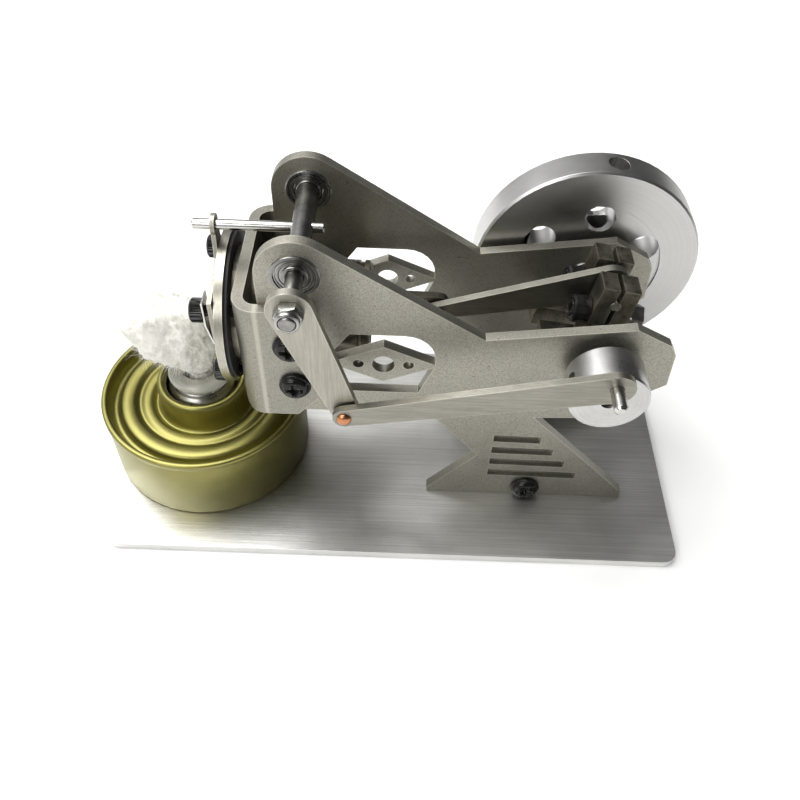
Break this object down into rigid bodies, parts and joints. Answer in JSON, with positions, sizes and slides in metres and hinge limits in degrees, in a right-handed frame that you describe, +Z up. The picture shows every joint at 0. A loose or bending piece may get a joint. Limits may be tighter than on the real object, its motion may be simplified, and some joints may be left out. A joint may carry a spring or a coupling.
{
  "type": "stirling engine model",
  "caption": "Tabletop flame-licker hot-air engine on a base plate, with twin side plates, cylinder and slide valve, rocker, clamped crank, flywheel and a tin spirit burner.",
  "frame": {"origin": "middle of the base plate's underside", "axes": "+X along the base towards the flywheel, -Y towards the eccentric disc and the link, +Z up"},
  "size_m": [0.123, 0.058, 0.0694],
  "materials": {
    "plate_steel": "satin blasted sheet",
    "brushed_steel": "straight brushed",
    "polished_steel": "polished",
    "turned_aluminium": "turned",
    "dark_steel": "darkened, oil mottled",
    "black_screw": "black oxide",
    "copper": "polished copper",
    "gold_lacquer": "clear gold lacquer on tinplate",
    "gasket": "matt",
    "glass": "clear",
    "cotton": "soft fibre"
  },
  "bodies": {
    "frame": {"base_plate": "brushed_steel", "side_plate_front": "plate_steel", "side_plate_rear": "plate_steel", "foot_block": "dark_steel", "foot_screw_front": "black_screw", "foot_screw_rear": "black_screw", "base_screw_front": "black_screw", "base_screw_rear": "black_screw", "cylinder_bracket": "plate_steel", "bracket_screw_front_upper": "black_screw", "bracket_screw_front_lower": "black_screw", "bracket_screw_rear_upper": "black_screw", "bracket_screw_rear_lower": "black_screw", "cylinder": "dark_steel", "head_gasket": "gasket", "cylinder_head": "brushed_steel", "head_screw_upper_front": "black_screw", "head_screw_upper_rear": "black_screw", "head_screw_lower_front": "black_screw", "head_screw_lower_rear": "black_screw", "valve_spring": "polished_steel", "rocker_bearing_front_outer": "polished_steel", "rocker_bearing_rear_outer": "polished_steel", "crank_bearing_front_outer": "polished_steel", "crank_bearing_rear_outer": "polished_steel"},
    "crank": {"crank_web_front": "dark_steel", "crank_web_rear": "dark_steel", "clamp_screw_front": "black_screw", "clamp_screw_rear": "black_screw", "clamp_nut_front": "polished_steel", "clamp_nut_rear": "polished_steel", "crank_pin": "polished_steel", "crank_shaft_front": "polished_steel", "crank_shaft_rear": "polished_steel", "eccentric_disc": "turned_aluminium", "disc_set_screw": "black_screw", "eccentric_pin": "polished_steel", "flywheel": "turned_aluminium", "flywheel_set_screw": "black_screw", "crank_bearing_front_inner": "polished_steel", "crank_bearing_rear_inner": "polished_steel"},
    "conrod": {"conrod": "brushed_steel", "wrist_pin": "polished_steel"},
    "piston": {"piston": "dark_steel"},
    "link": {"link_bar": "brushed_steel", "link_rivet": "copper"},
    "rocker": {"rocker_shaft": "dark_steel", "valve_rod": "polished_steel", "rocker_lever": "brushed_steel", "rocker_nut": "polished_steel", "rocker_bearing_front_inner": "polished_steel", "rocker_bearing_rear_inner": "polished_steel"},
    "valve": {"valve_plate": "plate_steel"},
    "burner": {"burner_can": "gold_lacquer", "burner_lid": "gold_lacquer", "wick_holder": "polished_steel", "wick_collar": "glass", "cotton_wick": "cotton"}
  },
  "joints": [
    {"name": "crank_spin", "type": "hinge", "parent": "frame", "child": "crank", "pos_m": [0.0372, 0, 0.044], "axis": [0, 1, 0], "continuous": true},
    {"name": "conrod_swing", "type": "hinge", "parent": "crank", "child": "conrod", "pos_m": [0.0386, 0, 0.0524], "axis": [0, 1, 0], "continuous": true},
    {"name": "link_swing", "type": "hinge", "parent": "crank", "child": "link", "pos_m": [0.0372, -0.0228, 0.0489], "axis": [0, 1, 0], "continuous": true},
    {"name": "piston_slide", "type": "slide", "parent": "frame", "child": "piston", "axis": [1, 0, 0], "range_m": [-0.0105, 0.005]},
    {"name": "rocker_rock", "type": "hinge", "parent": "frame", "child": "rocker", "pos_m": [-0.0176, 0, 0.0625], "axis": [0, 1, 0], "range_deg": [-9, 11]},
    {"name": "valve_slide", "type": "slide", "parent": "frame", "child": "valve", "axis": [0, 0, 1], "range_m": [-0.0031, 0.0031]},
    {"name": "burner_slide", "type": "slide", "parent": "frame", "child": "burner", "axis": [-1, 0, 0], "range_m": [0, 0.05]}
  ],
  "couplings": [
    {"joint": "conrod_swing", "follows": "crank_spin", "ratio": -1},
    {"joint": "link_swing", "follows": "crank_spin", "ratio": -1},
    {"joint": "valve_slide", "follows": "rocker_rock", "m_per_rad": 0.0155}
  ]
}
